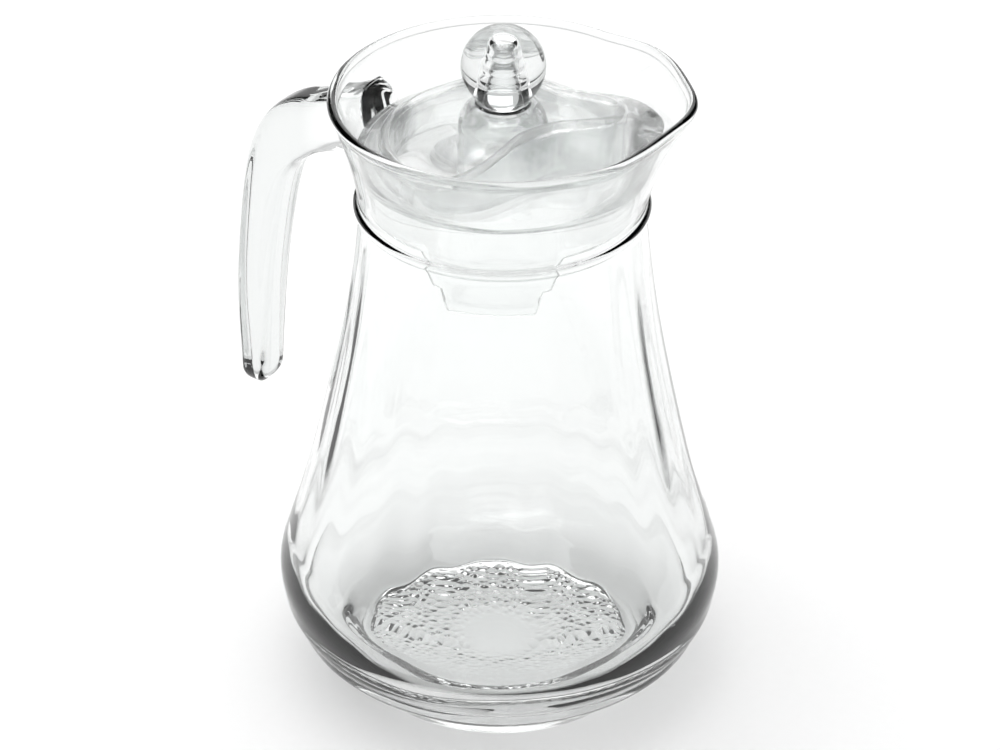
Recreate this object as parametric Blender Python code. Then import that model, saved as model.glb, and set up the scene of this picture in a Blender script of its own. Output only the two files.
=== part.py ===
"""Large glass water jug with a pull-out clear lid and a ball knob.

Blender 4.5, metres, +Z up. The jug's axis is the Z axis, its foot stands on z = 0,
the handle points along -X and the spout is SPOUT_TURN round from +X towards +Y.
"""
import math

import bpy
from mathutils import Vector

MM = 0.001
GAP = 0.3 * MM            # space between two pieces that touch

# Driving sizes of the glass
HEIGHT = 208.0 * MM       # foot to the top of the rim
RIM_RADIUS = 52.5 * MM    # middle of the rounded rim
RIM_ROUND = 1.5 * MM      # half the thickness of the rim
FOOT_RADIUS = 46.5 * MM   # edge of the flat that the jug stands on
BEAD_HEIGHT = 170.8 * MM  # middle of the bead around the neck
BEAD_ROUND = 1.7 * MM
NECK_RADIUS = 45.0 * MM   # outside of the glass at the bead
NECK_WALL = 2.4 * MM
BASE_THICK = 8.0 * MM     # glass under the inside bottom
SPOUT_FLARE = 3.0 * MM    # how far the wide part of the spout leans out
SPOUT_TIP = 3.2 * MM      # how much further its narrow tip reaches
SPOUT_RISE = 2.6 * MM     # how far the spout's lip stands above the rim
SPOUT_TURN = math.radians(23.5)
GLASS_SEGMENTS = 64

# Handle
HANDLE_WIDTH = 17.5 * MM
HANDLE_TAPER = 0.2         # share of the width lost by the free end
HANDLE_SIDES = 16
HANDLE_STEPS = 26
ROOT_GAP = 0.5 * MM      # keeps the handle's root clear of the neck's flat facets

# Lid
LID_TURN = math.radians(28.5)
LID_WALL = 2.0 * MM
LID_SEGMENTS = 64
SEAT_HEIGHT = 186.0 * MM  # underside of the lid's seat flange
FLANGE_THICK = 3.0 * MM
WELL_FLOOR = 183.0 * MM
CREST_LOW = 194.5 * MM    # edge of the well on the handle side
CREST_HIGH = 206.0 * MM   # edge of the well and the nose on the spout side
BOSS_RADIUS = 14.0 * MM
BOSS_TOP = 205.4 * MM
SKIRT_RADIUS = 41.6 * MM
SKIRT_BOTTOM = 173.0 * MM
LEG_BOTTOM = 162.0 * MM
LUG_BOTTOM = 154.5 * MM
LEG_HALF_ANGLE = math.radians(28.0)
LUG_HALF_ANGLE = math.radians(20.5)
LUG_REACH = 0.7 * MM

# Knob
STUD_RADIUS = 8.7 * MM
STUD_DISC = 1.5 * MM
CORE_RADIUS = 5.6 * MM
CORE_TIP = 3.4 * MM
CORE_LENGTH = 17.0 * MM
KNOB_RADIUS = 13.1 * MM
KNOB_CENTRE = 218.4 * MM
KNOB_SEGMENTS = 24


def clear_scene():
    """Remove whatever objects the scene holds."""
    for item in list(bpy.data.objects):
        bpy.data.objects.remove(item, do_unlink=True)


def make_material(name, colour, roughness, transmission):
    """A plain Principled material."""
    material = bpy.data.materials.new(name)
    material.use_nodes = True
    shader = material.node_tree.nodes["Principled BSDF"]
    shader.inputs["Base Color"].default_value = (*colour, 1.0)
    shader.inputs["Roughness"].default_value = roughness
    shader.inputs["Metallic"].default_value = 0.0
    shader.inputs["Transmission Weight"].default_value = transmission
    shader.inputs["IOR"].default_value = 1.5
    return material


def make_object(name, points, faces, material):
    """One named object from a list of points and faces."""
    mesh = bpy.data.meshes.new(name)
    mesh.from_pydata([tuple(p) for p in points], [], faces)
    mesh.update()
    mesh.validate()
    item = bpy.data.objects.new(name, mesh)
    item.data.materials.append(material)
    bpy.context.scene.collection.objects.link(item)
    return item


def smooth_step(value):
    """0 below 0, 1 above 1, and an even S between."""
    value = min(max(value, 0.0), 1.0)
    return value * value * (3.0 - 2.0 * value)


def bell(value):
    """1 at 0 and falling off evenly to both sides."""
    return math.exp(-value * value)


def smooth_curve(knots, at):
    """Value at `at` of a smooth curve through the knots (position, value)."""
    last = len(knots) - 1
    if at <= knots[0][0]:
        return knots[0][1]
    if at >= knots[last][0]:
        return knots[last][1]
    index = 0
    while knots[index + 1][0] < at:
        index += 1
    before = knots[max(index - 1, 0)]
    start = knots[index]
    end = knots[index + 1]
    after = knots[min(index + 2, last)]
    span = end[0] - start[0]
    part = (at - start[0]) / span
    slope_start = (end[1] - before[1]) / (end[0] - before[0])
    slope_end = (after[1] - start[1]) / (after[0] - start[0])
    square = part * part
    cube = square * part
    value = (2.0 * cube - 3.0 * square + 1.0) * start[1]
    value += (cube - 2.0 * square + part) * span * slope_start
    value += (3.0 * square - 2.0 * cube) * end[1]
    value += (cube - square) * span * slope_end
    return value


def turned_solid(name, profile_at, segments, material):
    """A closed solid whose section may change with the angle around Z.

    profile_at(angle) gives the section's points (radius, height), from the axis
    underneath, around the outside and back to the axis on top.
    """
    points = []
    rings = None
    for segment in range(segments):
        angle = 2.0 * math.pi * segment / segments
        section = profile_at(angle)
        rings = len(section) - 2
        for radius, height in section[1:-1]:
            points.append((radius * math.cos(angle), radius * math.sin(angle), height))
    section = profile_at(0.0)
    low = len(points)
    points.append((0.0, 0.0, section[0][1]))
    high = len(points)
    points.append((0.0, 0.0, section[-1][1]))
    faces = []
    for segment in range(segments):
        here = segment * rings
        there = (segment + 1) % segments * rings
        faces.append((low, there, here))
        for row in range(rings - 1):
            faces.append((here + row, there + row, there + row + 1, here + row + 1))
        faces.append((here + rings - 1, there + rings - 1, high))
    return make_object(name, points, faces, material)


# ---------------------------------------------------------------- the glass

BODY_OUTSIDE = [
    (0.8 * MM, 48.0 * MM), (4.0 * MM, 50.4 * MM), (8.0 * MM, 54.2 * MM),
    (13.0 * MM, 60.4 * MM), (18.0 * MM, 65.0 * MM), (28.0 * MM, 69.9 * MM),
    (38.0 * MM, 71.5 * MM), (48.0 * MM, 69.0 * MM), (60.0 * MM, 65.4 * MM),
    (80.0 * MM, 60.1 * MM), (105.0 * MM, 54.6 * MM), (130.0 * MM, 49.8 * MM),
    (150.0 * MM, 46.9 * MM), (168.0 * MM, NECK_RADIUS),
]
BODY_INSIDE = [
    (9.5 * MM, 40.0 * MM), (14.5 * MM, 51.5 * MM), (22.0 * MM, 61.0 * MM),
    (31.0 * MM, 66.5 * MM), (40.0 * MM, 68.4 * MM), (50.0 * MM, 66.2 * MM),
    (62.0 * MM, 62.8 * MM), (80.0 * MM, 57.8 * MM), (105.0 * MM, 52.3 * MM),
    (130.0 * MM, 47.4 * MM), (150.0 * MM, 44.5 * MM), (168.0 * MM, NECK_RADIUS - NECK_WALL),
]
NECK_OUTSIDE = [
    (173.0 * MM, NECK_RADIUS), (180.0 * MM, 46.0 * MM), (190.0 * MM, 48.4 * MM),
    (200.0 * MM, 51.6 * MM), (204.5 * MM, 53.2 * MM),
]


def from_spout(angle):
    """Signed degrees from the middle of the spout."""
    return math.degrees(math.remainder(angle - SPOUT_TURN, 2.0 * math.pi))


def spout_reach(angle):
    """How far the rim is pulled out at this angle."""
    turn = from_spout(angle)
    wide = smooth_step(1.0 - (abs(turn) - 40.0) / 24.0)
    return SPOUT_FLARE * wide + SPOUT_TIP * bell(turn / 14.0)


def spout_rise(angle):
    """How far the lip is lifted at this angle."""
    turn = from_spout(angle)
    return SPOUT_RISE * smooth_step(1.0 - (abs(turn) - 20.0) / 44.0)


def spout_share(height):
    """The part of the spout's pull that acts at this height of the neck."""
    foot = BEAD_HEIGHT + BEAD_ROUND
    return max(0.0, (height - foot) / (HEIGHT - foot)) ** 1.3


def pulled(angle, radius, height):
    """A point of the neck, moved by the spout."""
    share = spout_share(height)
    return (radius + share * spout_reach(angle), height + share * share * spout_rise(angle))


def neck_inside(angle, height):
    """Inner radius of the neck at this angle and height, without the spout's rise."""
    radius = smooth_curve(NECK_OUTSIDE, height) - NECK_WALL
    return radius + spout_share(height) * spout_reach(angle)


def glass_section(angle):
    """The jug's section, from under the base, up the outside and down the inside."""
    section = [(0.0, 0.0), (FOOT_RADIUS, 0.0)]
    for height in (0.8, 3.0, 5.5, 8.0, 10.5, 13.0, 17.0, 22.0, 27.0, 32.0, 38.0, 44.0,
                   51.0, 60.0, 80.0, 105.0, 130.0, 150.0, 168.0):
        radius = smooth_curve(BODY_OUTSIDE, height * MM)
        section.append((radius, height * MM))
    for step in range(5):
        turn = math.radians(-60.0 + 30.0 * step)
        radius = NECK_RADIUS + BEAD_ROUND * math.cos(turn) - 0.3 * MM
        section.append((radius, BEAD_HEIGHT + BEAD_ROUND * math.sin(turn)))
    for height in (173.2, 177.0, 181.0, 185.0, 189.0, 193.0, 197.0, 200.5, 203.5):
        radius = smooth_curve(NECK_OUTSIDE, height * MM)
        section.append(pulled(angle, radius, height * MM))
    for step in range(7):
        turn = math.radians(-35.0 + 40.0 * step)
        radius = RIM_RADIUS + RIM_ROUND * math.cos(turn)
        height = HEIGHT - RIM_ROUND + RIM_ROUND * math.sin(turn)
        section.append(pulled(angle, radius, height))
    for height in (202.0, 195.0, 187.0, 179.0, 173.0):
        radius = smooth_curve(NECK_OUTSIDE, height * MM) - NECK_WALL
        section.append(pulled(angle, radius, height * MM))
    for height in (168.0, 150.0, 130.0, 105.0, 80.0, 62.0, 55.0, 48.0, 40.0, 31.0, 22.0,
                   17.0, 13.0, 9.5):
        radius = smooth_curve(BODY_INSIDE, height * MM)
        section.append((radius, height * MM))
    section.append((20.0 * MM, BASE_THICK + 0.3 * MM))
    section.append((0.0, BASE_THICK))
    return section


def build_body(material):
    """The blown glass vessel with its bead, rim and spout."""
    return turned_solid("jug_body", glass_section, GLASS_SEGMENTS, material)


# The handle's middle line in the X-Z plane, and its depth in that plane.
HANDLE_LINE = [
    (-50.5, 184.5, 22.0), (-55.8, 182.9, 20.5), (-61.3, 181.3, 19.2), (-66.9, 179.2, 19.0),
    (-72.7, 176.7, 19.7), (-78.1, 172.7, 19.6), (-82.8, 166.9, 17.7), (-86.3, 159.2, 16.2),
    (-88.6, 149.6, 15.4), (-90.4, 138.5, 14.7), (-92.0, 126.3, 13.9), (-93.2, 113.7, 13.3),
    (-93.8, 101.5, 12.3), (-94.0, 90.1, 10.9), (-94.1, 79.5, 9.6),
]
HANDLE_END = 7.0 * MM


def handle_point(where):
    """Middle point and depth of the handle; `where` runs from 0 to 1."""
    knots = len(HANDLE_LINE) - 1
    lists = [[(float(n), HANDLE_LINE[n][axis]) for n in range(knots + 1)] for axis in range(3)]
    values = [smooth_curve(knot_list, where * knots) * MM for knot_list in lists]
    return Vector((values[0], 0.0, values[1])), values[2]


def handle_ring(centre, along, depth, width):
    """Points of one section of the handle: a rectangle with well rounded corners."""
    outward = Vector((along.z, 0.0, -along.x))
    ring = []
    for side in range(HANDLE_SIDES):
        turn = 2.0 * math.pi * side / HANDLE_SIDES
        cosine = math.cos(turn)
        sine = math.sin(turn)
        out = math.copysign(abs(cosine) ** 0.5, cosine)
        across = math.copysign(abs(sine) ** 0.5, sine)
        ring.append(centre + outward * (0.5 * depth * out) + Vector((0.0, 0.5 * width * across, 0.0)))
    return ring


def glass_outside(point, clearance):
    """The same point, moved along X onto a face this far outside the neck."""
    radius = smooth_curve(NECK_OUTSIDE, point.z) + clearance
    reach = math.sqrt(radius * radius - point.y * point.y)
    return Vector((-reach, point.y, point.z))


def clear_of_glass(point, clearance):
    """The same point, moved out along X if it is nearer the neck than this."""
    nearest = glass_outside(point, clearance)
    return point if point.x < nearest.x else nearest


def build_handle(material):
    """The pressed glass handle: an arm off the neck that bends down to a free rounded end."""
    rings = []
    for step in range(HANDLE_STEPS + 1):
        where = step / HANDLE_STEPS
        centre, depth = handle_point(where)
        ahead = handle_point(min(where + 0.01, 1.0))[0]
        behind = handle_point(max(where - 0.01, 0.0))[0]
        along = (ahead - behind).normalized()
        if step == 0:
            along = Vector((-1.0, 0.0, 0.0))
        width = HANDLE_WIDTH * (1.0 - HANDLE_TAPER * where)
        rings.append(handle_ring(centre, along, depth, width))
    rings[0] = [glass_outside(point, ROOT_GAP) for point in rings[0]]
    for row in (1, 2, 3, 4):
        clearance = ROOT_GAP + 1.0 * MM * row
        rings[row] = [clear_of_glass(point, clearance) for point in rings[row]]
    for turn in (30.0, 55.0, 75.0):
        share = math.cos(math.radians(turn))
        drop = HANDLE_END * math.sin(math.radians(turn))
        rings.append(handle_ring(centre + along * drop, along, depth * share, width * share))
    points = [point for ring in rings for point in ring]
    faces = []
    for row in range(len(rings) - 1):
        for side in range(HANDLE_SIDES):
            here = row * HANDLE_SIDES + side
            there = row * HANDLE_SIDES + (side + 1) % HANDLE_SIDES
            faces.append((here, there, there + HANDLE_SIDES, here + HANDLE_SIDES))
    start = len(points)
    points.append(glass_outside(handle_point(0.0)[0], ROOT_GAP))
    end = len(points)
    points.append(centre + along * HANDLE_END)
    last = (len(rings) - 1) * HANDLE_SIDES
    for side in range(HANDLE_SIDES):
        after = (side + 1) % HANDLE_SIDES
        faces.append((start, after, side))
        faces.append((end, last + side, last + after))
    return make_object("jug_handle", points, faces, material)


# ------------------------------------------------------------------ the lid

def from_nose(angle):
    """Signed degrees from the middle of the lid's nose."""
    return math.degrees(math.remainder(angle - LID_TURN, 2.0 * math.pi))


def well_radius(angle):
    """Plan of the well's edge: round on the handle side, drawn to a point at the spout."""
    turn = abs(from_nose(angle))
    knots = [(0.0, 36.2), (8.0, 34.8), (16.0, 28.8), (28.0, 21.6), (44.0, 19.0), (66.0, 19.6),
             (84.0, 23.5), (100.0, 29.6), (114.0, 34.2), (128.0, 36.0), (180.0, 36.0)]
    return smooth_curve(knots, turn) * MM


def crest_height(angle):
    """Height of the well's edge: low on the handle side, high towards the spout."""
    turn = abs(from_nose(angle))
    rise = smooth_step((130.0 - turn) / 62.0)
    return CREST_LOW + (CREST_HIGH - CREST_LOW) * rise


def nose(angle):
    """1 at the middle of the lid's nose, falling to 0 beside it."""
    return bell(from_nose(angle) / 15.0)


def within(angle, half_angle):
    """1 inside this angle of the middle of either leg, 0 outside it."""
    offset = abs(abs(math.radians(from_nose(angle))) - 0.5 * math.pi)
    return smooth_step((half_angle - offset) / math.radians(6.0) + 0.5)


def foot_height(angle):
    """Lower edge of the skirt: high between the legs, lowest at the narrow lug under each."""
    leg = within(angle, LEG_HALF_ANGLE)
    lug = within(angle, LUG_HALF_ANGLE)
    return SKIRT_BOTTOM + (LEG_BOTTOM - SKIRT_BOTTOM) * leg + (LUG_BOTTOM - LEG_BOTTOM) * lug


def lid_section(angle):
    """The lid's section, from under the boss, around the skirt and over the well."""
    crest = well_radius(angle)
    top = crest_height(angle)
    pull = nose(angle)
    seat = SEAT_HEIGHT + 12.5 * MM * pull
    rim_low = neck_inside(angle, seat) - GAP - 3.2 * MM * pull
    rim_high = neck_inside(angle, seat + FLANGE_THICK) - GAP - 4.4 * MM * pull
    drop = 1.0 + 3.0 * nose(angle)
    foot = foot_height(angle)
    lug = LUG_REACH * within(angle, LUG_HALF_ANGLE)
    floor = WELL_FLOOR
    under = floor - LID_WALL
    wall = LID_WALL
    skirt_in = SKIRT_RADIUS - wall
    section = [(0.0, BOSS_TOP - wall)]
    section += [(7.4 * MM, BOSS_TOP - wall), (10.6 * MM, BOSS_TOP - 3.9 * MM)]
    section += [(BOSS_RADIUS - wall, BOSS_TOP - 8.0 * MM), (BOSS_RADIUS - wall, under)]
    section += [(crest - 1.2 * MM, under), (crest + 0.2 * MM, under + 2.0 * MM)]
    section += [(crest + 0.5 * MM, top - 3.6 * MM), (crest + 1.6 * MM, top - 2.7 * MM)]
    for share in (0.35, 0.68):
        radius = crest + 1.6 * MM + (skirt_in - crest - 1.6 * MM) * share
        height = top - 2.7 * MM + (seat - top + 2.7 * MM) * share ** drop
        section.append((radius, height))
    section += [(skirt_in, seat - 0.6 * MM), (skirt_in, 0.5 * (seat + foot))]
    section += [(skirt_in, foot + 3.0 * MM), (skirt_in + 0.5 * MM, foot)]
    section += [(SKIRT_RADIUS - 0.5 * MM, foot), (SKIRT_RADIUS, foot + 0.8 * MM)]
    section += [(SKIRT_RADIUS + lug, foot + 1.4 * MM), (SKIRT_RADIUS + lug, foot + 3.2 * MM)]
    section += [(SKIRT_RADIUS, foot + 4.2 * MM), (SKIRT_RADIUS, 0.5 * (seat + foot) + 2.0 * MM)]
    section += [(SKIRT_RADIUS, seat), (rim_low, seat), (rim_high, seat + FLANGE_THICK)]
    for share in (0.14, 0.32, 0.5, 0.68, 0.86):
        radius = rim_high + (crest + 0.5 * MM - rim_high) * share
        height = top + (seat + FLANGE_THICK - top) * (1.0 - share) ** drop
        section.append((radius, height))
    section += [(crest, top), (crest - 0.8 * MM, top - 0.3 * MM)]
    section += [(crest - 1.2 * MM, top - 1.6 * MM), (crest - 1.6 * MM, floor + 2.0 * MM)]
    section += [(crest - 2.6 * MM, floor), (BOSS_RADIUS + 0.8 * MM, floor)]
    section += [(BOSS_RADIUS, floor + 1.2 * MM), (BOSS_RADIUS, BOSS_TOP - 8.2 * MM)]
    section += [(BOSS_RADIUS - 0.9 * MM, BOSS_TOP - 4.9 * MM)]
    section += [(BOSS_RADIUS - 2.7 * MM, BOSS_TOP - 1.9 * MM)]
    section += [(STUD_RADIUS + 0.4 * MM, BOSS_TOP), (0.0, BOSS_TOP)]
    return section


def build_lid(material):
    """The moulded lid: seat flange, raised nose, well with its boss, skirt and two legs."""
    return turned_solid("lid_shell", lid_section, LID_SEGMENTS, material)


# ----------------------------------------------------------------- the knob

def core_outline(clearance):
    """Side of the stud's tapered, ringed core as (radius, height) above its disc."""
    outline = []
    steps = 10
    for step in range(steps + 1):
        share = step / steps
        radius = CORE_RADIUS + (CORE_TIP - CORE_RADIUS) * share
        if step % 2 == 1:
            radius += 0.35 * MM
        outline.append((radius + clearance, CORE_LENGTH * share))
    return outline


def stud_section(angle):
    """The stud: a disc on the boss and a tapered core that goes up into the ball."""
    bottom = BOSS_TOP + GAP
    top = bottom + STUD_DISC
    section = [(0.0, bottom), (STUD_RADIUS - 0.3 * MM, bottom), (STUD_RADIUS, bottom + 0.3 * MM)]
    section += [(STUD_RADIUS, top - 0.3 * MM), (STUD_RADIUS - 0.3 * MM, top)]
    section += [(radius, top + height) for radius, height in core_outline(0.0)]
    section += [(0.5 * CORE_TIP, top + CORE_LENGTH + 1.0 * MM), (0.0, top + CORE_LENGTH + 1.2 * MM)]
    return section


def knob_section(angle):
    """The ball, cut flat underneath, with the hole that takes the core."""
    start = BOSS_TOP + GAP + STUD_DISC
    bottom = start + GAP
    hole = [(radius, start + height) for radius, height in core_outline(GAP)]
    hole[0] = (hole[0][0], bottom)
    roof = start + CORE_LENGTH + 1.5 * MM
    section = [(0.0, roof), (0.5 * CORE_TIP + GAP, roof - 0.1 * MM)]
    section += reversed(hole)
    low = math.asin((bottom - KNOB_CENTRE) / KNOB_RADIUS)
    steps = 16
    for step in range(steps):
        turn = low + (0.5 * math.pi - low) * step / steps
        section.append((KNOB_RADIUS * math.cos(turn), KNOB_CENTRE + KNOB_RADIUS * math.sin(turn)))
    section.append((0.0, KNOB_CENTRE + KNOB_RADIUS))
    return section


def build_knob(material):
    """The ball knob and the stud that joins it to the lid."""
    turned_solid("knob_stud", stud_section, KNOB_SEGMENTS, material)
    turned_solid("lid_knob", knob_section, KNOB_SEGMENTS, material)


def main():
    clear_scene()
    glass = make_material("clear_glass", (0.95, 0.97, 0.96), 0.03, 1.0)
    plastic = make_material("clear_plastic", (0.94, 0.95, 0.95), 0.06, 1.0)
    build_body(glass)
    build_handle(glass)
    build_lid(plastic)
    build_knob(plastic)


main()
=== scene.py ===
"""Clear glass water jug with its lift-out lid, shown on a pale floor in soft studio light."""
import math

import bpy
import numpy as np
from mathutils import Matrix, Vector


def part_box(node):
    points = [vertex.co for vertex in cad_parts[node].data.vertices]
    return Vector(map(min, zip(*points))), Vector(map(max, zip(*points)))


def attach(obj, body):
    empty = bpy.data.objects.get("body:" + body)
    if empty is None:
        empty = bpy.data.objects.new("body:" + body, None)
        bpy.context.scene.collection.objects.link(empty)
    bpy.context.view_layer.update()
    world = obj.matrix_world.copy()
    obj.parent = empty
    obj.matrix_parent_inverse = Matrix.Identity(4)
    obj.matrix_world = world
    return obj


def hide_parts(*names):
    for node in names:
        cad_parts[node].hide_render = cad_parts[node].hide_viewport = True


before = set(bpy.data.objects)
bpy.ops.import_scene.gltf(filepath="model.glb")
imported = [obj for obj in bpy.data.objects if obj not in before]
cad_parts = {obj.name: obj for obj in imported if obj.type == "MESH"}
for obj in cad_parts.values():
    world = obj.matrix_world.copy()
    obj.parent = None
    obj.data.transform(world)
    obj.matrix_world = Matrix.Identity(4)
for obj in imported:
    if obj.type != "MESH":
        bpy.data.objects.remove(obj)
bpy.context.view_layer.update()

MM = 0.001

# Heights and radii of the glass, all in metres; the foot stands on z = 0.
BODY_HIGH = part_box("jug_body")[1]
SPOUT_RISE = 2.6 * MM
RIM_TOP = BODY_HIGH[2] - SPOUT_RISE
RIM_RADIUS = 52.5 * MM
RIM_ROUND = 1.5 * MM
BEAD_HEIGHT = 170.8 * MM
BEAD_ROUND = 1.7 * MM
NECK_RADIUS = 45.0 * MM
NECK_WALL = 2.4 * MM
BASE_THICK = 8.0 * MM
SPOUT_FLARE = 3.0 * MM
SPOUT_TIP = 3.2 * MM
SPOUT_TURN = 23.5

# The lid and its knob.
LID_TURN = 28.5
SEAT_HEIGHT = 186.0 * MM
FLANGE_THICK = 3.0 * MM
WELL_FLOOR = 183.0 * MM
CREST_LOW = 194.5 * MM
CREST_HIGH = 206.0 * MM
BOSS_RADIUS = 14.0 * MM
BOSS_TOP = 205.4 * MM
LID_WALL = 2.0 * MM
SKIRT_RADIUS = 41.6 * MM
SKIRT_BOTTOM = 173.0 * MM
LEG_BOTTOM = 162.0 * MM
LUG_BOTTOM = 154.5 * MM
LEG_HALF_ANGLE = math.radians(28.0)
LUG_HALF_ANGLE = math.radians(20.5)
LUG_REACH = 0.7 * MM
STUD_RADIUS = 8.7 * MM
STUD_DISC = 1.5 * MM
CORE_RADIUS = 5.6 * MM
CORE_TIP = 3.4 * MM
CORE_LENGTH = 17.0 * MM
KNOB_RADIUS = 13.1 * MM
KNOB_CENTRE = 218.4 * MM
GAP = 0.3 * MM


# ------------------------------------------------------------ working shapes

def smooth_step(value):
    """0 below 0, 1 above 1, and 3v^2 - 2v^3 between."""
    value = np.clip(value, 0.0, 1.0)
    return value * value * (3.0 - 2.0 * value)


def bell(value):
    """exp(-v^2): 1 at nought, falling off evenly to both sides."""
    return np.exp(-np.square(value))


def smooth_curve(knots, at):
    """A smooth curve through (position, value) knots, worked out for a whole array.

    Each span is the cubic that meets its two knots with the slope of the chord
    between their neighbours.
    """
    knots = np.asarray(knots, dtype=float)
    place, value = knots[:, 0], knots[:, 1]
    at = np.clip(np.asarray(at, dtype=float), place[0], place[-1])
    slope = np.gradient(value, place)
    slope[1:-1] = (value[2:] - value[:-2]) / (place[2:] - place[:-2])
    span = np.clip(np.searchsorted(place, at, side="right") - 1, 0, len(place) - 2)
    width = place[span + 1] - place[span]
    part = (at - place[span]) / width
    square, cube = part ** 2, part ** 3
    curve = (2.0 * cube - 3.0 * square + 1.0) * value[span]
    curve += (cube - 2.0 * square + part) * width * slope[span]
    curve += (3.0 * square - 2.0 * cube) * value[span + 1]
    return curve + (cube - square) * width * slope[span + 1]


def degrees_off(angle, centre):
    """Signed degrees from `centre` (degrees) round to each angle (radians)."""
    turn = np.degrees(angle) - centre
    return (turn + 180.0) % 360.0 - 180.0


def grid_faces(columns, rows, closed):
    """Quads of a grid of columns x rows points; the columns join up where closed."""
    span = columns if closed else columns - 1
    here = np.arange(span)[:, None] * rows + np.arange(rows - 1)[None, :]
    there = (np.arange(span)[:, None] + 1) % columns * rows + np.arange(rows - 1)[None, :]
    quads = np.stack([here, there, there + 1, here + 1], axis=-1)
    return quads.reshape(-1, 4)


def make_piece(name, points, quads, triangles):
    """One smooth object from arrays of points, four-sided faces and triangles."""
    mesh = bpy.data.meshes.new(name)
    corners = np.concatenate([quads.ravel(), triangles.ravel()]).astype(np.int32)
    counts = np.concatenate([np.full(len(quads), 4), np.full(len(triangles), 3)])
    starts = np.concatenate([[0], np.cumsum(counts)[:-1]]).astype(np.int32)
    mesh.vertices.add(len(points))
    mesh.vertices.foreach_set("co", points.astype(np.float32).ravel())
    mesh.loops.add(len(corners))
    mesh.loops.foreach_set("vertex_index", corners)
    mesh.polygons.add(len(counts))
    mesh.polygons.foreach_set("loop_start", starts)
    mesh.polygons.foreach_set("use_smooth", np.ones(len(counts), dtype=bool))
    mesh.update(calc_edges=True)
    mesh.validate()
    piece = bpy.data.objects.new(name, mesh)
    bpy.context.scene.collection.objects.link(piece)
    return piece


def turned_piece(name, section_at, columns):
    """A closed solid turned about Z, whose section may change with the angle.

    section_at takes the angles as a column and gives radius and height, one row of
    points for each angle, from the axis underneath round the outside to the axis on
    top. Point (r, h) at angle a lies at (r cos a, r sin a, h).
    """
    angle = np.linspace(0.0, 2.0 * math.pi, columns, endpoint=False)[:, None]
    radius, height = section_at(angle)
    radius = np.broadcast_to(radius, (columns, radius.shape[-1]))
    height = np.broadcast_to(height, radius.shape)
    inner_r, inner_h = radius[:, 1:-1], height[:, 1:-1]
    rows = inner_r.shape[1]
    ring = np.stack([inner_r * np.cos(angle), inner_r * np.sin(angle), inner_h], axis=-1)
    ends = np.array([[0.0, 0.0, height[0, 0]], [0.0, 0.0, height[0, -1]]])
    points = np.concatenate([ring.reshape(-1, 3), ends])
    low, high = columns * rows, columns * rows + 1
    here = np.arange(columns) * rows
    there = (np.arange(columns) + 1) % columns * rows
    under = np.stack([np.full(columns, low), there, here], axis=-1)
    over = np.stack([here + rows - 1, there + rows - 1, np.full(columns, high)], axis=-1)
    quads = grid_faces(columns, rows, True)
    return make_piece(name, points, quads, np.concatenate([under, over]))


def joined(*parts):
    """Radius and height of several stretches of a section, end to end."""
    shapes = [np.broadcast_arrays(*part) for part in parts]
    columns = max(shape[0].shape[0] for shape in shapes)
    full = [[np.broadcast_to(v, (columns, v.shape[-1])) for v in shape] for shape in shapes]
    return np.concatenate([f[0] for f in full], 1), np.concatenate([f[1] for f in full], 1)


def row(*values):
    """The values as one row of an array, in millimetres."""
    return np.array([values], dtype=float) * MM


def arc(radius_at, height_at, reach, start, end, steps):
    """Part of a circle in the section, from `start` to `end` degrees."""
    turn = np.radians(np.linspace(start, end, steps))[None, :]
    return radius_at + reach * np.cos(turn), height_at + reach * np.sin(turn)


# ------------------------------------------------------------------ the glass

BODY_OUTSIDE = np.array([
    (0.8, 48.0), (4.0, 50.4), (8.0, 54.2), (13.0, 60.4), (18.0, 65.0), (28.0, 69.9),
    (38.0, 71.5), (48.0, 69.0), (60.0, 65.4), (80.0, 60.1), (105.0, 54.6), (130.0, 49.8),
    (150.0, 46.9), (168.0, 45.0),
]) * MM
BODY_INSIDE = np.array([
    (9.5, 40.0), (14.5, 51.5), (22.0, 61.0), (31.0, 66.5), (40.0, 68.4), (50.0, 66.2),
    (62.0, 62.8), (80.0, 57.8), (105.0, 52.3), (130.0, 47.4), (150.0, 44.5), (168.0, 42.6),
]) * MM
NECK_OUTSIDE = np.array([
    (173.0, 45.0), (180.0, 46.0), (190.0, 48.4), (200.0, 51.6), (204.5, 53.2),
]) * MM


def spout_reach(angle):
    """Pull of the rim: a broad flat-topped swell plus a narrow bell at the tip."""
    turn = degrees_off(angle, SPOUT_TURN)
    wide = smooth_step(1.0 - (np.abs(turn) - 40.0) / 24.0)
    return SPOUT_FLARE * wide + SPOUT_TIP * bell(turn / 14.0)


def spout_share(height):
    """Share of the pull at this height: ((h - bead) / (rim - bead)) to the power 1.3."""
    foot = BEAD_HEIGHT + BEAD_ROUND
    return np.clip((height - foot) / (RIM_TOP - foot), 0.0, None) ** 1.3


def pulled(angle, radius, height):
    """Neck points moved out, and near the rim up, by the spout."""
    share = spout_share(height)
    turn = np.abs(degrees_off(angle, SPOUT_TURN))
    lift = SPOUT_RISE * smooth_step(1.0 - (turn - 20.0) / 44.0)
    return radius + share * spout_reach(angle), height + share ** 2 * lift


def rib(height, centre, half, reach):
    """A pillowed ring around the bowl: reach x (1 - ((h - centre) / half)^2), never below 0."""
    return reach * np.clip(1.0 - np.square((height - centre) / half), 0.0, None)


def waviness(angle, height, centre, half):
    """Uneven glass of the inside bottom: a few long waves round it, strongest at one height."""
    waves = np.sin(3.0 * angle + 0.7) + 0.7 * np.sin(5.0 * angle + 2.1) + 0.5 * np.sin(8.0 * angle)
    return 0.45 * MM * waves * bell((height - centre) / half)


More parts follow.
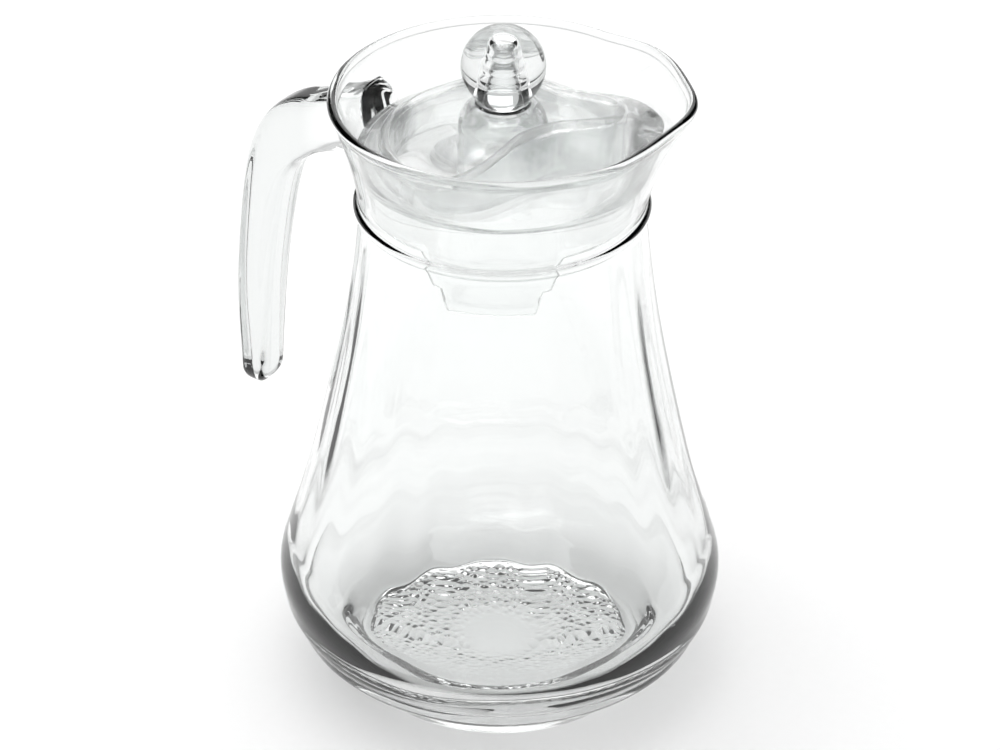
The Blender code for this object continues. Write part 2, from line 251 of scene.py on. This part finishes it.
def wall_streaks(angle, height):
    """Upright streaks in the wall: short waves round it that fade towards neck and base."""
    waves = np.sin(11.0 * angle + 1.0) + np.sin(17.0 * angle) + 0.8 * np.sin(26.0 * angle + 0.4)
    return 0.13 * MM * waves * bell((height - 105.0 * MM) / (50.0 * MM))


def glass_section(angle):
    """The vessel's section: under the foot, up the outside, over the rim, down the inside."""
    outer = np.concatenate([np.linspace(0.8, 24.0, 60), np.linspace(25.0, 168.0, 80)])[None, :] * MM
    outer_r = smooth_curve(BODY_OUTSIDE, outer)
    for centre, half, reach in ((4.6, 3.8, 0.7), (15.2, 6.4, 1.0), (26.2, 4.2, 0.45)):
        outer_r = outer_r + rib(outer, centre * MM, half * MM, reach * MM)
    neck = np.linspace(173.2, 203.8, 34)[None, :] * MM
    neck_in = np.linspace(203.4, 172.0, 34)[None, :] * MM
    inner = np.concatenate([np.linspace(168.0, 62.0, 60), np.linspace(60.0, 9.5, 60)])[None, :] * MM
    floor_r = np.linspace(39.0, 0.0, 26)[None, :] * MM
    floor_h = BASE_THICK + 1.5 * MM * (floor_r / (40.0 * MM)) ** 3
    bead = arc(NECK_RADIUS - 0.3 * MM, BEAD_HEIGHT, BEAD_ROUND, -68.0, 68.0, 13)
    rim = arc(RIM_RADIUS, RIM_TOP - RIM_ROUND, RIM_ROUND, -35.0, 215.0, 22)
    return joined(
        (row(0.0, 12.0, 24.0, 34.0, 40.0, 44.0, 46.0, 46.6, 47.2, 47.7),
         row(1.2, 1.2, 1.2, 1.1, 0.9, 0.25, 0.0, 0.0, 0.1, 0.4)),
        (outer_r, outer),
        bead,
        pulled(angle, smooth_curve(NECK_OUTSIDE, neck), neck),
        pulled(angle, *rim),
        pulled(angle, smooth_curve(NECK_OUTSIDE, neck_in) - NECK_WALL, neck_in),
        (smooth_curve(BODY_INSIDE, inner) + waviness(angle, inner, 19.0 * MM, 8.0 * MM)
         + wall_streaks(angle, inner), inner),
        (floor_r, floor_h),
    )


HANDLE_LINE = np.array([
    (-46.4, 185.0, 25.0), (-50.5, 184.5, 22.6), (-55.8, 182.9, 20.5), (-61.3, 181.3, 19.2),
    (-66.9, 179.2, 19.0),
    (-72.7, 176.7, 19.7), (-78.1, 172.7, 19.6), (-82.8, 166.9, 17.7), (-86.3, 159.2, 16.2),
    (-88.6, 149.6, 15.4), (-90.4, 138.5, 14.7), (-92.0, 126.3, 13.9), (-93.2, 113.7, 13.3),
    (-93.8, 101.5, 12.3), (-94.0, 90.1, 10.9), (-94.1, 79.5, 9.6),
]) * MM
HANDLE_WIDTH = 17.5 * MM
HANDLE_END = 7.0 * MM


def build_handle():
    """A bar carried along the handle's middle line and closed by a rounded end.

    A section point at angle t stands at 0.5 depth |cos t|^e outwards and
    0.5 width |sin t|^e across: a rectangle with well rounded corners where e is 0.5,
    rounder at the root, where e is 0.8 and the bar widens into the neck.
    """
    steps, sides, cap = 150, 64, 14
    knots = np.arange(len(HANDLE_LINE), dtype=float)
    where = np.linspace(0.0, knots[-1], steps)
    x, z, depth = (smooth_curve(np.column_stack([knots, HANDLE_LINE[:, n]]), where) for n in range(3))
    along = np.column_stack([np.gradient(x), np.gradient(z)])
    along /= np.linalg.norm(along, axis=1)[:, None]
    width = HANDLE_WIDTH * (1.0 - 0.2 * np.clip(where - 1.0, 0.0, None) / (knots[-1] - 1.0))
    root = np.exp(-where / 0.7)
    width = width * (1.0 + 0.18 * root)
    depth = depth * (1.0 + 0.10 * root)
    turn = np.radians(np.linspace(0.0, 90.0, cap + 1)[1:])
    x = np.concatenate([x, x[-1] + along[-1, 0] * HANDLE_END * np.sin(turn)])
    z = np.concatenate([z, z[-1] + along[-1, 1] * HANDLE_END * np.sin(turn)])
    depth = np.concatenate([depth, depth[-1] * np.cos(turn)])
    width = np.concatenate([width, width[-1] * np.cos(turn)])
    along = np.concatenate([along, np.repeat(along[-1:], cap, axis=0)])
    out_x, out_z = along[:, 1:2], -along[:, 0:1]
    side = np.linspace(0.0, 2.0 * math.pi, sides, endpoint=False)[None, :]
    power = 0.5 + 0.3 * np.exp(-np.arange(len(x)) / 16.0)[:, None]
    out = np.sign(np.cos(side)) * np.abs(np.cos(side)) ** power
    across = np.sign(np.sin(side)) * np.abs(np.sin(side)) ** power
    px = x[:, None] + out_x * 0.5 * depth[:, None] * out
    pz = z[:, None] + out_z * 0.5 * depth[:, None] * out
    py = 0.5 * width[:, None] * across
    in_wall = smooth_curve(NECK_OUTSIDE, pz[0]) - 0.5 * NECK_WALL
    px[0] = -np.sqrt(np.square(in_wall) - np.square(py[0]))
    rings = np.stack([px, py, pz], axis=-1)[:-1]
    points = np.concatenate([rings.reshape(-1, 3), [[x[0], 0.0, z[0]], [x[-1], 0.0, z[-1]]]])
    count = len(rings)
    ring = np.arange(sides)
    after = (ring + 1) % sides
    here = np.arange(count - 1)[:, None] * sides
    quads = np.stack([here + ring, here + after, here + sides + after, here + sides + ring], axis=-1)
    start = np.stack([np.full(sides, count * sides), after, ring], axis=-1)
    last = (count - 1) * sides
    end = np.stack([np.full(sides, count * sides + 1), last + ring, last + after], axis=-1)
    return make_piece("handle_bar", points, quads.reshape(-1, 4), np.concatenate([start, end]))


def fused(body, handle):
    """The body and handle as one skin, as hot glass takes them."""
    union = body.modifiers.new("fuse", "BOOLEAN")
    union.operation = "UNION"
    union.solver = "EXACT"
    union.object = handle
    evaluated = body.evaluated_get(bpy.context.evaluated_depsgraph_get())
    mesh = bpy.data.meshes.new_from_object(evaluated)
    body.modifiers.clear()
    body.data = mesh
    bpy.data.objects.remove(handle, do_unlink=True)
    return body


def build_glass():
    """The blown vessel with its handle fused on below the rim."""
    body = turned_piece("glass_jug", glass_section, 224)
    return fused(body, build_handle())


# -------------------------------------------------------------------- the lid

WELL_PLAN = np.array([
    (0.0, 36.2), (8.0, 34.8), (16.0, 28.8), (28.0, 21.6), (44.0, 19.0), (66.0, 19.6),
    (84.0, 23.5), (100.0, 29.6), (114.0, 34.2), (128.0, 36.0), (180.0, 36.0),
])


def neck_inside(angle, height):
    """Inner radius of the neck, with the spout's pull."""
    radius = smooth_curve(NECK_OUTSIDE, height) - NECK_WALL
    return radius + spout_share(height) * spout_reach(angle)


def lid_section(angle):
    """The lid's section: under the boss, down the inside of the skirt, up over the well."""
    turn = degrees_off(angle, LID_TURN)
    crest = smooth_curve(WELL_PLAN, np.abs(turn)) * MM
    top = CREST_LOW + (CREST_HIGH - CREST_LOW) * smooth_step((130.0 - np.abs(turn)) / 62.0)
    pull = bell(turn / 15.0)
    seat = SEAT_HEIGHT + 12.5 * MM * pull
    rim_low = neck_inside(angle, seat) - GAP - 3.2 * MM * pull
    rim_high = neck_inside(angle, seat + FLANGE_THICK) - GAP - 4.4 * MM * pull
    drop = 1.0 + 3.0 * pull
    offset = np.abs(np.abs(np.radians(turn)) - 0.5 * math.pi)
    leg = smooth_step((LEG_HALF_ANGLE - offset) / math.radians(6.0) + 0.5)
    ear = smooth_step((LUG_HALF_ANGLE - offset) / math.radians(4.0) + 0.5)
    foot = SKIRT_BOTTOM + (LEG_BOTTOM - SKIRT_BOTTOM) * leg + (LUG_BOTTOM - LEG_BOTTOM) * ear
    lug = LUG_REACH * ear
    under = WELL_FLOOR - LID_WALL
    skirt_in = SKIRT_RADIUS - LID_WALL
    fold_r = crest + 1.6 * MM
    fold_h = top - 2.7 * MM
    share = np.linspace(0.04, 0.96, 24)[None, :]
    inside = (fold_r + (skirt_in - fold_r) * share, fold_h + (seat - fold_h) * share ** drop)
    down = np.linspace(0.0, 1.0, 14)[None, :]
    skirt_inner = (skirt_in + 0.0 * down, seat - 0.6 * MM + (foot + 3.0 * MM - seat) * down)
    skirt_outer_low = foot + 4.2 * MM
    skirt_outer = (SKIRT_RADIUS + 0.0 * down, skirt_outer_low + (seat - skirt_outer_low) * down)
    back = np.linspace(0.03, 0.97, 30)[None, :]
    flank = (rim_high + (crest + 0.6 * MM - rim_high) * back,
             top + (seat + FLANGE_THICK - top) * (1.0 - back) ** drop)
    wall_up = np.linspace(0.0, 1.0, 8)[None, :]
    shoulder_turn = np.radians(np.linspace(4.0, 86.0, 12))[None, :]
    shoulder = (STUD_RADIUS + 0.2 * MM + (BOSS_RADIUS - STUD_RADIUS - 0.2 * MM) * np.cos(shoulder_turn),
                BOSS_TOP - 8.2 * MM + 8.2 * MM * np.sin(shoulder_turn))
    hollow = (BOSS_RADIUS - LID_WALL) * np.sin(shoulder_turn[:, 2:])
    hollow_h = BOSS_TOP - 8.2 * MM + (8.2 * MM - LID_WALL) * np.cos(shoulder_turn[:, 2:])
    one = np.ones_like(crest)
    boss_side = BOSS_TOP - 9.0 * MM
    boss_foot = WELL_FLOOR + 2.0 * MM
    return joined(
        (row(0.0, 1.0), np.full((1, 2), BOSS_TOP - LID_WALL)),
        (hollow, hollow_h),
        (BOSS_RADIUS - LID_WALL + 0.0 * wall_up, boss_side + (under - boss_side) * wall_up),
        (np.concatenate([crest - 1.2 * MM, crest - 0.1 * MM, crest + 0.2 * MM], 1),
         np.concatenate([under * one, under + 0.8 * MM * one, under + 2.0 * MM * one], 1)),
        (np.concatenate([crest + 0.4 * MM, crest + 0.5 * MM, crest + 0.8 * MM], 1),
         np.concatenate([0.5 * (under + top), top - 3.8 * MM, top - 3.0 * MM], 1)),
        inside,
        skirt_inner,
        (np.concatenate([(skirt_in + 0.2 * MM) * one, (skirt_in + 0.7 * MM) * one,
                         (SKIRT_RADIUS - 0.6 * MM) * one, (SKIRT_RADIUS - 0.15 * MM) * one], 1),
         np.concatenate([foot + 0.4 * MM, foot, foot, foot + 0.5 * MM], 1)),
        (np.concatenate([SKIRT_RADIUS + lug, SKIRT_RADIUS + lug, SKIRT_RADIUS + 0.4 * lug], 1),
         np.concatenate([foot + 1.4 * MM, foot + 3.2 * MM, foot + 3.9 * MM], 1)),
        skirt_outer,
        (np.concatenate([rim_low - 0.3 * MM, rim_low, rim_high, rim_high - 0.4 * MM], 1),
         np.concatenate([seat, seat + 0.3 * MM, seat + FLANGE_THICK - 0.4 * MM, seat + FLANGE_THICK], 1)),
        flank,
        (np.concatenate([crest + 0.2 * MM, crest - 0.4 * MM, crest - 0.9 * MM, crest - 1.2 * MM], 1),
         np.concatenate([top + 0.0 * MM, top - 0.05 * MM, top - 0.4 * MM, top - 1.4 * MM], 1)),
        (np.concatenate([crest - 1.4 * MM, crest - 1.6 * MM, crest - 1.9 * MM, crest - 2.6 * MM], 1),
         np.concatenate([0.5 * (top + WELL_FLOOR), (WELL_FLOOR + 2.0 * MM) * one,
                         (WELL_FLOOR + 0.6 * MM) * one, WELL_FLOOR * one], 1)),
        (np.array([[BOSS_RADIUS + 0.8 * MM, BOSS_RADIUS + 0.2 * MM, BOSS_RADIUS]]),
         np.array([[WELL_FLOOR, WELL_FLOOR + 0.3 * MM, WELL_FLOOR + 1.2 * MM]])),
        (BOSS_RADIUS + 0.0 * wall_up, boss_foot + (boss_side - boss_foot) * wall_up),
        shoulder,
        (row(7.0, 3.0, 0.0), np.full((1, 3), BOSS_TOP)),
    )


def build_lid():
    """The moulded clear lid."""
    return turned_piece("clear_lid", lid_section, 320)


def core_side(clearance):
    """The taper of the core: radius falls evenly, with five faint rings on it."""
    share = np.linspace(0.0, 1.0, 81)[None, :]
    radius = CORE_RADIUS + (CORE_TIP - CORE_RADIUS) * share
    rings = 0.1 * MM * np.clip(np.sin(share * 10.0 * math.pi), 0.0, 1.0)
    return radius + rings + clearance, CORE_LENGTH * share


def stud_section(angle):
    """The stud: a disc with rounded edges under a ringed core with a domed tip."""
    bottom = BOSS_TOP + GAP
    top = bottom + STUD_DISC
    radius, height = core_side(0.0)
    return joined(
        (np.array([[0.0, STUD_RADIUS - 0.4 * MM]]), np.full((1, 2), bottom)),
        arc(STUD_RADIUS - 0.3 * MM, bottom + 0.3 * MM, 0.3 * MM, -70.0, 0.0, 5),
        arc(STUD_RADIUS - 0.3 * MM, top - 0.3 * MM, 0.3 * MM, 0.0, 90.0, 5),
        (radius, top + height),
        (CORE_TIP * np.cos(np.radians(np.linspace(15.0, 90.0, 8)))[None, :],
         top + CORE_LENGTH + 1.2 * MM * np.sin(np.radians(np.linspace(15.0, 90.0, 8)))[None, :]),
    )


def knob_section(angle):
    """The ball, cut flat below, with the hole that takes the core."""
    start = BOSS_TOP + GAP + STUD_DISC
    bottom = start + GAP
    radius, height = core_side(GAP)
    hole_r, hole_h = radius[:, ::-1], np.maximum(start + height[:, ::-1], bottom)
    roof = np.radians(np.linspace(90.0, 15.0, 8))[None, :]
    low = math.degrees(math.asin((bottom - KNOB_CENTRE) / KNOB_RADIUS))
    ball = arc(0.0, KNOB_CENTRE, KNOB_RADIUS, low + 2.0, 90.0, 60)
    return joined(
        ((CORE_TIP + GAP) * np.cos(roof), start + CORE_LENGTH + 1.5 * MM * np.sin(roof)),
        (hole_r[:, :-1], hole_h[:, :-1]),
        (radius[:, :1] + 0.3 * MM, np.full((1, 1), bottom)),
        (np.array([[KNOB_RADIUS * math.cos(math.radians(low)) - 0.3 * MM]]), np.full((1, 1), bottom)),
        (ball[0][:, :-1], ball[1][:, :-1]),
        (np.zeros((1, 1)), np.full((1, 1), KNOB_CENTRE + KNOB_RADIUS)),
    )


# ------------------------------------------------------------------ materials

class Wire:
    """One socket of a material's nodes, with the sums a finish needs."""

    def __init__(self, graph, socket):
        self.graph = graph
        self.socket = socket

    def _math(self, operation, *values):
        return self.graph.node("Math", {"operation": operation}, *values)

    def __add__(self, other):
        return self._math("ADD", self, other)

    def __radd__(self, other):
        return self._math("ADD", other, self)

    def __sub__(self, other):
        return self._math("SUBTRACT", self, other)

    def __rsub__(self, other):
        return self._math("SUBTRACT", other, self)

    def __mul__(self, other):
        return self._math("MULTIPLY", self, other)

    def __rmul__(self, other):
        return self._math("MULTIPLY", other, self)

    def __truediv__(self, other):
        return self._math("DIVIDE", self, other)

    def __pow__(self, other):
        return self._math("POWER", self, other)

    def clamped(self):
        return self.graph.node("Clamp", {}, self, 0.0, 1.0)


class Finish:
    """A material under construction."""

    def __init__(self, name):
        self.material = bpy.data.materials.new(name)
        self.material.use_nodes = True
        self.tree = self.material.node_tree
        self.tree.nodes.clear()

    def node(self, kind, settings, *inputs, output=0, **named):
        """Add a node: its settings first, then its sockets by order or by name."""
        made = self.tree.nodes.new("ShaderNode" + kind)
        for key, value in settings.items():
            setattr(made, key, value)
        pairs = list(zip(made.inputs, inputs))
        pairs += [(made.inputs[key.replace("_", " ")], value) for key, value in named.items()]
        for socket, value in pairs:
            if value is None:
                continue
            if isinstance(value, Wire):
                self.tree.links.new(value.socket, socket)
            else:
                socket.default_value = value
        return Wire(self, made.outputs[output])

    def split(self, vector):
        """The three parts of a vector."""
        parts = self.node("SeparateXYZ", {}, vector).socket.node.outputs
        return [Wire(self, part) for part in parts]

    def blend(self, factor, first, second):
        """A colour between two colours."""
        made = self.tree.nodes.new("ShaderNodeMix")
        made.data_type = "RGBA"
        for socket, value in zip([made.inputs[0], made.inputs[6], made.inputs[7]], [factor, first, second]):
            if isinstance(value, Wire):
                self.tree.links.new(value.socket, socket)
            else:
                socket.default_value = value
        return Wire(self, made.outputs[2])

    def output(self, surface):
        """Join the surface to the material's output."""
        made = self.tree.nodes.new("ShaderNodeOutputMaterial")
        self.tree.links.new(surface.socket, made.inputs["Surface"])


def clear_finish(name, tint, clear, index, ripple, ripple_scale, haze, stipple_and_painted_shade=False, thin=0.0):
    """Clear material: faint streaks in the tint, fine haze, and a gently rippled skin.

    The stipple flag adds the bumpy disc under the foot and painted shade on the handle: a darker base
    colour that stands in for the dark surroundings seen through the glass there.
    `thin` is the share of the surface, seen head on, that is plain see-through.
    """
    finish = Finish(name)
    place = finish.node("TexCoord", {}, output=3)
    streak = finish.node("TexNoise", {}, place, Scale=38.0, Detail=3.0, Roughness=0.55)
    colour = finish.blend(streak, (*tint, 1.0), (*clear, 1.0))
    dust = finish.node("TexNoise", {}, place, Scale=420.0, Detail=4.0, Roughness=0.7)
    rough = (dust - 0.45).clamped() * haze
    waves = finish.node("TexNoise", {}, place, Scale=ripple_scale, Detail=1.5, Roughness=0.4)
    normal = finish.node("Bump", {}, Strength=1.0, Distance=ripple, Height=waves)
    if stipple_and_painted_shade:
        x, y, z = finish.split(place)
        # Painted shade: the handle (x below -64 mm, above 66 mm) gets a darker base colour in place of the
        # dark surroundings refracted through it.
        painted_handle_shade = ((-64.0 * MM - x) * 150.0).clamped() * ((z - 66.0 * MM) * 200.0).clamped()
        colour = finish.blend(painted_handle_shade, colour, (0.80, 0.815, 0.81, 1.0))
        out = (x * x + y * y) ** 0.5
        cells = finish.node("TexVoronoi", {"feature": "F1"}, place, Scale=330.0, Randomness=0.75)
        disc = ((44.5 * MM - out) * 400.0).clamped() * ((3.0 * MM - z) * 2000.0).clamped()
        disc = disc * ((out - 8.0 * MM) * 90.0).clamped()
        normal = finish.node(
            "Bump", {}, Strength=1.0, Distance=0.6 * MM, Height=cells * disc, Normal=normal
        )
    surface = finish.node(
        "BsdfPrincipled", {}, Base_Color=colour, Roughness=rough, IOR=index, Normal=normal,
        Transmission_Weight=1.0,
    )
    if thin:
        sheer = finish.node("BsdfTransparent", {}, (0.975, 0.98, 0.978, 1.0))
        facing = finish.node("LayerWeight", {}, Blend=0.5, output=1)
        surface = finish.node("MixShader", {}, (1.0 - facing) * thin, surface, sheer)
    edge = finish.node("LayerWeight", {}, Blend=0.35, output=1)
    shade = finish.blend(edge, (0.97, 0.97, 0.97, 1.0), (0.25, 0.25, 0.25, 1.0))
    veil = finish.node("BsdfTransparent", {}, shade)
    lamp = finish.node("LightPath", {}, output=1)
    mixed = finish.node("MixShader", {}, lamp, surface, veil)
    finish.output(mixed)
    return finish.material


def floor_finish():
    """Matt white studio floor with a barely visible tooth."""
    finish = Finish("white_floor")
    place = finish.node("TexCoord", {}, output=3)
    tooth = finish.node("TexNoise", {}, place, Scale=300.0, Detail=2.0)
    colour = finish.blend(tooth, (0.90, 0.90, 0.90, 1.0), (0.92, 0.92, 0.92, 1.0))
    surface = finish.node("BsdfPrincipled", {}, Base_Color=colour, Roughness=0.9)
    finish.output(surface)
    return finish.material


# --------------------------------------------------------------------- studio

CAMERA_TURN = math.radians(33.0)
CAMERA_RISE = math.radians(32.65)
CAMERA_ROLL = math.radians(0.43)
CAMERA_AWAY = 1.4
AIM_HEIGHT = 0.5 * RIM_TOP


FLOOR_RADIUS = 8.0
FLOOR_DROP = 0.2 * MM     # keeps the floor just clear of the foot


def build_floor():
    """A round white floor under the jug."""
    turn = np.linspace(0.0, 2.0 * math.pi, 96, endpoint=False)
    level = np.full_like(turn, -FLOOR_DROP)
    ring = np.stack([FLOOR_RADIUS * np.cos(turn), FLOOR_RADIUS * np.sin(turn), level], axis=-1)
    points = np.concatenate([ring, [[0.0, 0.0, -FLOOR_DROP]]])
    here = np.arange(96)
    fan = np.stack([here, (here + 1) % 96, np.full(96, 96)], axis=-1)
    floor = make_piece("studio_floor", points, np.zeros((0, 4), dtype=int), fan)
    floor.data.materials.append(floor_finish())


def add_softbox(name, place, aim, width, height, power):
    """A soft rectangular lamp that looks at `aim`."""
    lamp = bpy.data.lights.new(name, "AREA")
    lamp.shape = "RECTANGLE"
    lamp.size = width
    lamp.size_y = height
    lamp.energy = power
    holder = bpy.data.objects.new(name, lamp)
    bpy.context.scene.collection.objects.link(holder)
    holder.location = place
    holder.rotation_euler = (Vector(aim) - Vector(place)).to_track_quat("-Z", "Y").to_euler()
    return holder


def add_flag(name, corner, along, up):
    """A black card that only gloss and glass see, to draw their edges dark."""
    corner, along, up = (np.array(v, dtype=float) for v in (corner, along, up))
    points = np.stack([corner, corner + along, corner + along + up, corner + up])
    card = make_piece(name, points, np.array([[0, 1, 2, 3]]), np.zeros((0, 3), dtype=int))
    finish = Finish(name)
    finish.output(finish.node("BsdfDiffuse", {}, (0.01, 0.01, 0.01, 1.0), 1.0))
    card.data.materials.append(finish.material)
    card.visible_camera = False
    card.visible_diffuse = False
    card.visible_shadow = False


def studio(across, away, up=0.0):
    """A place or direction in the room: to the right, away from the camera, and up."""
    return (
        across * math.cos(CAMERA_TURN) - away * math.sin(CAMERA_TURN),
        across * math.sin(CAMERA_TURN) + away * math.cos(CAMERA_TURN),
        up,
    )


def build_light():
    """One broad lamp overhead, a softer one behind, and a pale room.

    Black cards hang at both sides and in front, higher than the jug, so that no level
    line of sight through the glass ends on one.
    """
    add_softbox("top_softbox", studio(-0.25, 0.25, 1.3), (0.0, 0.0, 0.1), 1.3, 1.3, 11.0)
    add_softbox("back_softbox", studio(0.3, 1.5, 0.7), (0.0, 0.0, 0.1), 1.4, 0.8, 3.0)
    add_flag("left_flag", studio(-0.34, -0.7, 0.24), studio(0.0, 1.5), (0.0, 0.0, 0.8))
    add_flag("right_flag", studio(0.34, -0.7, 0.24), studio(0.0, 1.5), (0.0, 0.0, 0.8))
    add_flag("front_flag", studio(-0.7, -0.7, 0.24), studio(1.4, 0.0), (0.0, 0.0, 0.5))
    world = bpy.data.worlds.new("studio_room")
    world.use_nodes = True
    shade = world.node_tree.nodes["Background"]
    shade.inputs["Color"].default_value = (0.5, 0.5, 0.5, 1.0)
    shade.inputs["Strength"].default_value = 1.5
    bpy.context.scene.world = world
    bpy.context.scene.view_settings.view_transform = "Standard"


def build_camera():
    """A long lens from above, with the handle to the left and the spout to the right."""
    back = Vector((
        math.sin(CAMERA_TURN) * math.cos(CAMERA_RISE),
        -math.cos(CAMERA_TURN) * math.cos(CAMERA_RISE),
        math.sin(CAMERA_RISE),
    ))
    right = Vector((math.cos(CAMERA_TURN), math.sin(CAMERA_TURN), 0.0))
    up = back.cross(right)
    tilted_right = right * math.cos(CAMERA_ROLL) + up * math.sin(CAMERA_ROLL)
    tilted_up = up * math.cos(CAMERA_ROLL) - right * math.sin(CAMERA_ROLL)
    lens = bpy.data.cameras.new("camera")
    lens.lens = 158.2
    lens.sensor_width = 36.0
    lens.shift_x = -0.001
    lens.shift_y = 0.0072
    lens.clip_start = 0.05
    camera = bpy.data.objects.new("camera", lens)
    bpy.context.scene.collection.objects.link(camera)
    turn = Matrix((tilted_right, tilted_up, back)).transposed().to_4x4()
    camera.matrix_world = Matrix.Translation(back * CAMERA_AWAY + Vector((0.0, 0.0, AIM_HEIGHT))) @ turn
    bpy.context.scene.camera = camera


def build_jug():
    """Every piece with its finish, riding on its CAD body."""
    glass = clear_finish(
        "clear_glass", (0.94, 0.952, 0.948), (0.975, 0.982, 0.979), 1.517, 0.35 * MM, 26.0, 0.02, True
    )
    plastic = clear_finish(
        "clear_plastic", (0.95, 0.96, 0.96), (0.985, 0.99, 0.99), 1.5, 0.08 * MM, 40.0, 0.03, thin=0.55
    )
    ball_plastic = clear_finish(
        "ball_plastic", (0.94, 0.95, 0.95), (0.985, 0.99, 0.99), 1.5, 0.25 * MM, 60.0, 0.05
    )
    jug = build_glass()
    lid = build_lid()
    stud = turned_piece("knob_core", stud_section, 96)
    ball = turned_piece("ball_knob", knob_section, 128)
    jug.data.materials.append(glass)
    lid.data.materials.append(plastic)
    for piece in (stud, ball):
        piece.data.materials.append(ball_plastic)
    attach(jug, "jug")
    for piece in (lid, stud, ball):
        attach(piece, "lid")
    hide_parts("jug_body", "jug_handle")
    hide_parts("lid_shell")
    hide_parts("knob_stud")
    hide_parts("lid_knob")


build_jug()
build_floor()
build_light()
build_camera()
